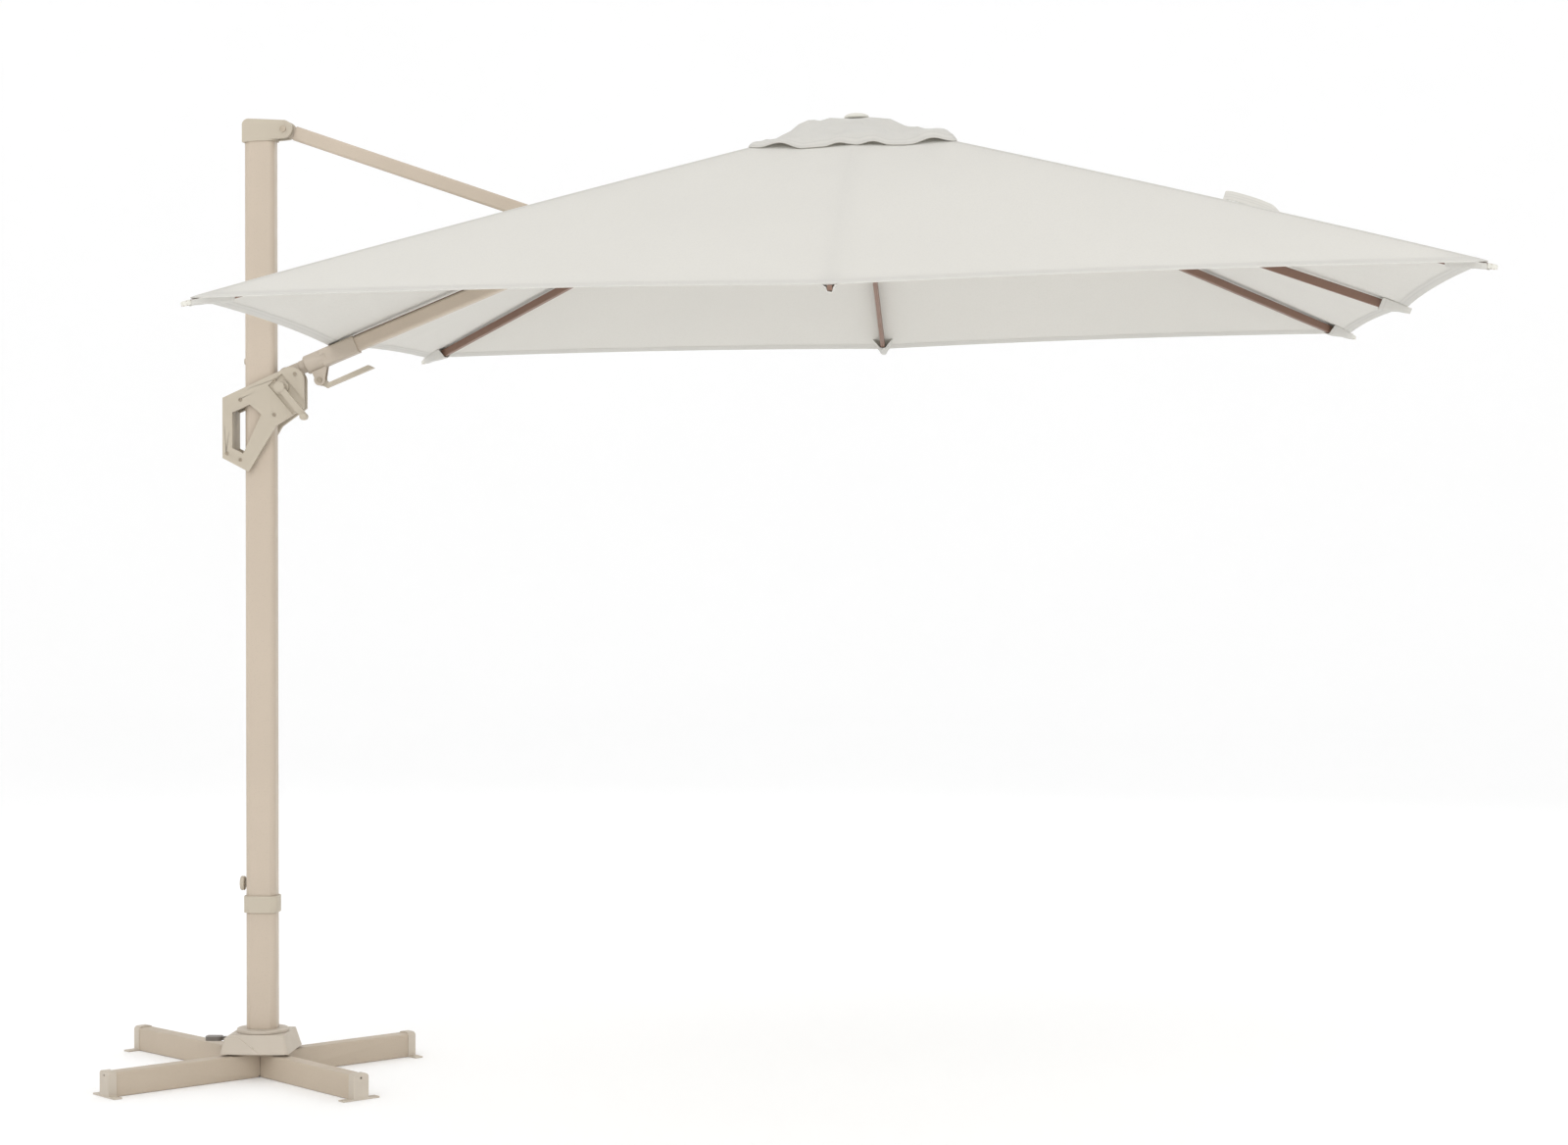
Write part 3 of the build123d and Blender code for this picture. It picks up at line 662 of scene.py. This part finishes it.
def build_slot_binding(index, body):
    """The bound edge of the slot that the strut passes through."""
    steps, folds = 16, 4
    edge, side_in, side_out = 0.018, 0.077, 0.100
    low, high = 0.372, 0.569
    pieces = []
    for word, start in (("inner", low), ("outer", high - edge)):
        sides = [side_out * (2 * i / steps - 1) for i in range(steps + 1)]
        rows = [[(index + side, start + edge * k / folds) for side in sides] for k in range(folds + 1)]
        uvs = [(side * 0.7, (k / folds - 0.5) * 0.028) for k in range(folds + 1) for side in sides]
        pieces.append(band("slot_" + word, rows, body, 0.0030, uvs))
    for word, sign in (("far", -1), ("near", 1)):
        outs = [low + (high - low) * i / steps for i in range(steps + 1)]
        levels = [side_in + (side_out - side_in) * k / folds for k in range(folds + 1)]
        rows = [[(index + sign * level, out) for out in outs] for level in levels]
        uvs = [(out * HALF, (k / folds - 0.5) * 0.022) for k in range(folds + 1) for out in outs]
        pieces.append(band("slot_" + word, rows, body, 0.0026, uvs))
    return pieces


def fold_in(pieces):
    """Gives each piece of a gore its own copy of its mesh."""
    for piece in pieces:
        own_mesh(piece)


def build_arm_canopy(index):
    """The canopy's cloth over the arm, which stays put while the ribs fold."""
    middle, far, near = build_arm_gore(index)
    share = strip_share(1.0)
    trims = [build_hem(index, "arm", "arm", -share, share)] + build_slot_binding(index, "arm")
    for piece, word, sign in ((far, "arm_far", -1), (near, "arm_near", 1)):
        hem = build_hem(index, word, "arm", *sorted((sign * share, sign * 0.5)))
        fold_in([piece, hem])


def build_rib_canopy(index, name):
    """The canopy's cloth over one rib, with what is sewn to it."""
    body = body_of(name)
    piece = build_gore(index, name)
    extras = [build_hem(index, name, body)]
    if is_corner(index):
        extras.append(build_ridge_seam(index, name, body))
    if name == "outer_near":
        extras.append(build_tie(body))
    fold_in([piece] + extras)
    extras.append(build_pocket(index, name, body))
    if is_corner(index):
        build_tip(index, name)


def build_canopy():
    for index, name in enumerate(GORES):
        if name == "arm":
            build_arm_canopy(index)
        else:
            build_rib_canopy(index, name)


def build_tie(body):
    """The loop of strap, sewn to the outside near the hem, that ties the folded canopy. Its line holds
    (distance along, height): out from the stitches, up, over, and back to the cloth."""
    start = Vector((0.955, -0.862, 0))
    heading = Vector((0.90, -0.30, 0)).normalized()
    across = Vector((-heading.y, heading.x, 0))
    wide, columns, steps, thick = 0.040, 9, 5, 0.0016
    line = [(0.165, 0.0010), (0.150, 0.0030), (0.132, 0.0120), (0.108, 0.0235), (0.078, 0.0300),
            (0.045, 0.0310), (0.018, 0.0290), (0.004, 0.0240), (-0.004, 0.0165), (0.000, 0.0090),
            (0.012, 0.0055), (0.040, 0.0040), (0.080, 0.0032), (0.120, 0.0028), (0.162, 0.0028)]
    fine = []
    for k in range(len(line) - 1):
        four = [line[max(k - 1, 0)], line[k], line[k + 1], line[min(k + 2, len(line) - 1)]]
        for i in range(steps):
            fine.append(tuple(spline(*[point[c] for point in four], i / steps) for c in (0, 1)))
    fine.append(line[-1])
    skin, uvs, travelled = [], [], 0.0
    for row, (ahead, lift) in enumerate(fine):
        if row:
            travelled += math.hypot(ahead - fine[row - 1][0], lift - fine[row - 1][1])
        stand = 1.05 * min(1.0, lift / 0.020)
        for j in range(columns):
            offset = (j / (columns - 1) - 0.5) * wide
            rise = lift * 0.45 + (offset + wide / 2) * math.sin(stand) * 0.75
            place = start + heading * ahead + across * offset * math.cos(stand)
            place.z = cloth_height(place.x, place.y) + 0.0018 + rise
            skin.append(CANOPY @ place)
            uvs.append((travelled, offset))
    normals = mesh_normals(skin, len(fine), columns)
    faces = grid_faces(len(fine), columns, flip=grid_flip(skin, columns, normals))
    verts, faces, normals, uvs = thicken(skin, faces, normals, uvs, [thick] * len(skin))
    return add_piece("tie_strap", verts, faces, [SEAM], body, uvs, normals)


def spline(a, b, c, d, t):
    """Catmull-Rom between b and c."""
    square = 2 * a - 5 * b + 4 * c - d
    cube = 3 * b - a - 3 * c + d
    return 0.5 * (2 * b + (c - a) * t + square * t * t + cube * t ** 3)


# Vent cap: a small loose sheet that rests on the canopy and lifts in arches between its tacks.
# Each of its four sides has arches of (middle, half width, height), the first two as shares of half the
# side. Its crumples are (x, y, spread, height). VENT_SIDES has each side's outward and sideways directions.

VENT_HALF = 0.28
VENT_COLUMNS = 48
VENT_LEVELS = [0.0, 0.010, 0.022, 0.036, 0.052, 0.070, 0.095, 0.125, 0.16, 0.20, 0.25, 0.31, 0.38, 0.46,
               0.55, 0.65, 0.75, 0.85, 0.92, 0.962]
VENT_TOP_ROW = 16
VENT_HEM_ROW = 4
ARCHES = [
    [(-0.70, 0.20, 0.013), (-0.18, 0.17, 0.009), (0.25, 0.18, 0.010), (0.74, 0.21, 0.013)],
    [(-0.72, 0.20, 0.012), (-0.22, 0.20, 0.010), (0.20, 0.14, 0.008), (0.70, 0.24, 0.013)],
    [(-0.76, 0.20, 0.013), (-0.28, 0.16, 0.009), (0.15, 0.18, 0.010), (0.71, 0.22, 0.012)],
    [(-0.70, 0.215, 0.0145), (-0.13, 0.155, 0.0085), (0.20, 0.165, 0.0100), (0.77, 0.21, 0.0130)],
]
CRUMPLES = [(-0.135, -0.06, 0.050, -0.0095), (0.095, -0.10, 0.045, 0.0060),
            (-0.075, -0.02, 0.030, 0.0060), (0.060, 0.10, 0.050, 0.0050),
            (-0.10, 0.13, 0.045, -0.0060), (0.02, -0.14, 0.040, -0.0040)]
VENT_SIDES = [((1, 0), (0, 1)), ((0, 1), (-1, 0)), ((-1, 0), (0, -1)), ((0, -1), (1, 0))]


def vent_point(side, u, m):
    """A point on the vent cap: side 0 to 3, u from -1 to 1 along it, m from 0 at the hem to 1 at the
    top. Over a soft limit its height is pressed flat, so that the finial stands clear."""
    limit, give = 0.030, 0.0095
    outward, sideways = VENT_SIDES[side]
    shrink = 1 - m
    x = VENT_HALF * shrink * (outward[0] + sideways[0] * u)
    y = VENT_HALF * shrink * (outward[1] + sideways[1] * u)
    arch = sum(high * math.cos(math.pi / 2 * (u - middle) / half) ** 2
               for middle, half, high in ARCHES[side] if abs(u - middle) < half)
    puff = 0.0165 * (1 - math.exp(-m / 0.040))
    fade = min(1.0, m / 0.12) * min(1.0, (1 - m) / 0.22)
    crumple = 0.022 * noise.noise(Vector((x * 8.5 + 3.1, y * 8.5 + 1.7, 0.4)))
    crumple += 0.012 * (0.35 - abs(noise.noise(Vector((x * 17, y * 17, 5.2)))))
    for at_x, at_y, spread, height in CRUMPLES:
        crumple += height * math.exp(-((x - at_x) ** 2 + (y - at_y) ** 2) / spread ** 2)
    z = cloth_height(x, y) + 0.0030 + arch * math.exp(-(m / 0.16) ** 2) + puff + fade * crumple
    over = max(0.0, z - limit)
    z -= over - give * math.tanh(over / give)
    return CANOPY @ Vector((x, y, z))


def vent_part(name, low, high, body, columns, first):
    """Rows low to high of the vent cap over some columns of its ring. The normals come from a strip
    with a spare column each side and every row, so they agree where two parts meet."""
    wide = columns + 2
    skin, uvs = [], []
    for m in VENT_LEVELS:
        for j in range(first - 1, first + columns + 1):
            side, column = divmod(j % (4 * VENT_COLUMNS), VENT_COLUMNS)
            skin.append(vent_point(side, -1 + 2 * column / VENT_COLUMNS, m))
            uvs.append((j * 2 * VENT_HALF / VENT_COLUMNS, m * VENT_HALF - 0.0075))
    normals = mesh_normals(skin, len(VENT_LEVELS), wide)
    if normals[wide * 12 + wide // 2].z < 0:
        normals = [-v for v in normals]
    kept = [i * wide + j for i in range(low, high) for j in range(1, wide - 1)]
    skin, uvs, normals = ([row[i] for i in kept] for row in (skin, uvs, normals))
    faces = grid_faces(high - low, columns, flip=grid_flip(skin, columns, normals))
    rows = range(low, high)
    thickness = [CLOTH * (2.4 if row < VENT_HEM_ROW else 1.0) for row in rows for _ in range(columns)]
    indices = [1 if row < VENT_HEM_ROW else 0 for row in rows[:-1] for _ in range(columns - 1)]
    verts, faces, normals, uvs = thicken(skin, faces, normals, uvs, thickness)
    indices = indices + indices + [0] * (len(faces) - 2 * len(indices))
    return add_piece(name, verts, faces, [MATERIALS["canopy_fabric"], SEAM], body,
                     uvs, normals, indices)


def build_vent():
    """The vent cap: a small top on the hub, and a part over each gore that folds with it."""
    top = vent_part("vent_top", VENT_TOP_ROW, len(VENT_LEVELS), "hub", 4 * VENT_COLUMNS + 1, 0)
    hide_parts("vent_cap")
    for index, name in enumerate(GORES):
        first = VENT_COLUMNS // 4 + index * VENT_COLUMNS // 2
        part = vent_part("vent_" + name, 0, VENT_TOP_ROW + 1, body_of(name), VENT_COLUMNS // 2 + 1, first)
        fold_in([part])


def lathe(name, profile, place, material, body):
    """A turned piece: profile holds (radius, height) from the bottom to the top."""
    segments = 48
    verts = []
    for radius, height in profile:
        for k in range(segments):
            angle = 2 * math.pi * k / segments
            verts.append(place @ Vector((radius * math.cos(angle), radius * math.sin(angle), height)))
    faces = ring_faces(len(profile), segments)
    faces.append(tuple(reversed(range(segments))))
    faces.append(tuple(range((len(profile) - 1) * segments, len(profile) * segments)))
    return add_piece(name, verts, faces, [material], body)


def build_finial():
    """The domed knob on top of the hub, with its neck down through the vent cap."""
    steps = 12
    turns = [math.pi / 2 * i / steps for i in range(steps)]
    dome = [(0.0345 * math.cos(t), 0.0445 + 0.0115 * math.sin(t)) for t in turns]
    neck = [(0.008, 0.014), (0.008, 0.0395), (0.030, 0.0405), (0.0335, 0.0418)]
    profile = neck + dome + [(0.002, 0.056)]
    piece = lathe("finial_knob", profile, CANOPY, MATERIALS["fabric_plastic"], "hub")
    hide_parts("finial")


def build_arm_rail_painted_shade(name, low, high):
    """A rail let into the arm's top, given the ribs' dark colour as painted shade so that it shows as a
    thin dark shadow line along it, from low to high metres up from the arm's foot. Its section holds
    (across, up)."""
    tube_low, tube_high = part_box("arm_tube")
    end_high, end_long = 0.039, 0.016
    slope = math.atan2(tube_high.z - tube_low.z - end_high, tube_high.x - tube_low.x - end_long)
    foot = Vector((0.072, 0, 1.9752))
    along = Vector((math.cos(slope), 0, math.sin(slope)))
    up = Vector((-along.z, 0, along.x))
    section = [(-0.0075, 0.0205), (-0.0075, 0.0232), (-0.0060, 0.0246), (0.0060, 0.0246),
               (0.0075, 0.0232), (0.0075, 0.0205)]
    rows, count = 25, len(section)
    verts = []
    for i in range(rows):
        at = low + (high - low) * i / (rows - 1)
        verts += [foot + along * at + up * rise + Vector((0, over, 0)) for over, rise in section]
    faces = ring_faces(rows, count)
    faces.append(tuple(reversed(range(count))))
    faces.append(tuple(range((rows - 1) * count, rows * count)))
    # Painted shade: the ribs' dark colour makes the rail read as the shadow line along the arm.
    piece = add_piece(name, verts, faces, [MATERIALS["rib_tube"]], "arm")
    piece.data.polygons.foreach_set("use_smooth", [False] * len(piece.data.polygons))


build_canopy()
build_vent()
build_finial()
build_arm_rail_painted_shade("arm_rail_shade_low", 0.219, 0.925)
build_arm_rail_painted_shade("arm_rail_shade_high", 1.035, 1.560)


# CAD nodes that keep their shape

EDGE_ROUND = 0.0009
SAME_POINT = 0.00002


def dress(node, material):
    """Gives a CAD node its finish, and rounds its hard edges."""
    piece = frame["nodes"][node]
    for slot in piece.material_slots:
        slot.material = material
    weld = piece.modifiers.new("weld", "WELD")
    weld.merge_threshold = SAME_POINT
    bevel = piece.modifiers.new("round", "BEVEL")
    bevel.width = EDGE_ROUND
    bevel.segments = 2
    bevel.limit_method = "ANGLE"
    bevel.angle_limit = math.radians(40)
    bevel.harden_normals = True


slot_of = {row["node"]: row["material_slot"] for row in frame["record"]["subparts"]}
for node, piece in frame["nodes"].items():
    if not piece.hide_render:
        dress(node, MATERIALS[slot_of[node]])


# Stage


def build_stage():
    """A round floor that sweeps up into a wall on every side, so that each view has a plain ground."""
    wall, turn, high, around, steps = 19.0, 5.0, 11.0, 96, 16
    centre, below = 1.35, 0.0005
    profile = [(wall - turn - 2.0, 0.0), (wall - turn, 0.0)]
    for i in range(1, steps + 1):
        angle = math.pi / 2 * i / steps
        profile.append((wall - turn + turn * math.sin(angle), turn * (1 - math.cos(angle))))
    profile.append((wall, high))
    verts = []
    for radius, height in profile:
        for k in range(around):
            angle = 2 * math.pi * k / around
            verts.append((centre + radius * math.cos(angle), radius * math.sin(angle), height - below))
    faces = [tuple(range(around))] + ring_faces(len(profile), around, flip=True)
    mesh = bpy.data.meshes.new("floor")
    mesh.from_pydata(verts, [], faces)
    mesh.polygons.foreach_set("use_smooth", [True] * len(mesh.polygons))
    mesh.materials.append(floor_material())
    floor = bpy.data.objects.new("floor", mesh)
    bpy.context.scene.collection.objects.link(floor)


def floor_material():
    """Matt white, a little uneven, which glows faintly so that the far wall is as white as the floor."""
    n = Nodes("floor")
    tone = n.mix(n.noise(0.6, 2.0), (0.955, 0.955, 0.955, 1), (0.97, 0.97, 0.97, 1))
    n.link(tone, n.shader.inputs["Base Color"])
    n.constant(Roughness=0.9, Specular_IOR_Level=0.1, Emission_Color=(1, 1, 1, 1), Emission_Strength=0.055)
    return n.material


def area_light(name, place, target, power):
    """A soft round lamp aimed at a point."""
    light = bpy.data.lights.new(name, "AREA")
    light.shape = "DISK"
    light.size = 5.0
    light.energy = power
    lamp = bpy.data.objects.new(name, light)
    lamp.location = place
    lamp.rotation_euler = (Vector(target) - Vector(place)).to_track_quat("-Z", "Y").to_euler()
    bpy.context.scene.collection.objects.link(lamp)


def build_light():
    """Three soft lamps in an even white sky, with colours shown as they are."""
    area_light("key", (-2.5, -7.5, 6.5), (1.0, 0, 1.3), 150)
    area_light("fill", (6.5, -6.0, 3.5), (1.0, 0, 1.2), 80)
    area_light("rim", (2.0, 6.5, 5.0), (1.0, 0, 1.5), 60)
    world = bpy.data.worlds.new("studio")
    world.use_nodes = True
    background = world.node_tree.nodes["Background"]
    background.inputs["Color"].default_value = (1.0, 1.0, 1.0, 1)
    background.inputs["Strength"].default_value = 0.935
    bpy.context.scene.world = world
    bpy.context.scene.view_settings.view_transform = "Standard"


def build_camera():
    """Eye height about 1.6 m, 9 m away, aimed a little to the left of square-on."""
    data = bpy.data.cameras.new("camera")
    data.sensor_width = 36.0
    data.lens = 73.09
    data.shift_y = -0.0417
    camera = bpy.data.objects.new("camera", data)
    pan, roll = 0.0727, -0.0020
    level = Matrix.Rotation(pan, 4, "Z") @ Matrix.Rotation(math.pi / 2, 4, "X")
    place = Matrix.Translation((2.1187, -8.8391, 1.5972))
    camera.matrix_world = place @ level @ Matrix.Rotation(roll, 4, "Z")
    bpy.context.scene.collection.objects.link(camera)
    bpy.context.scene.camera = camera


build_stage()
build_light()
build_camera()
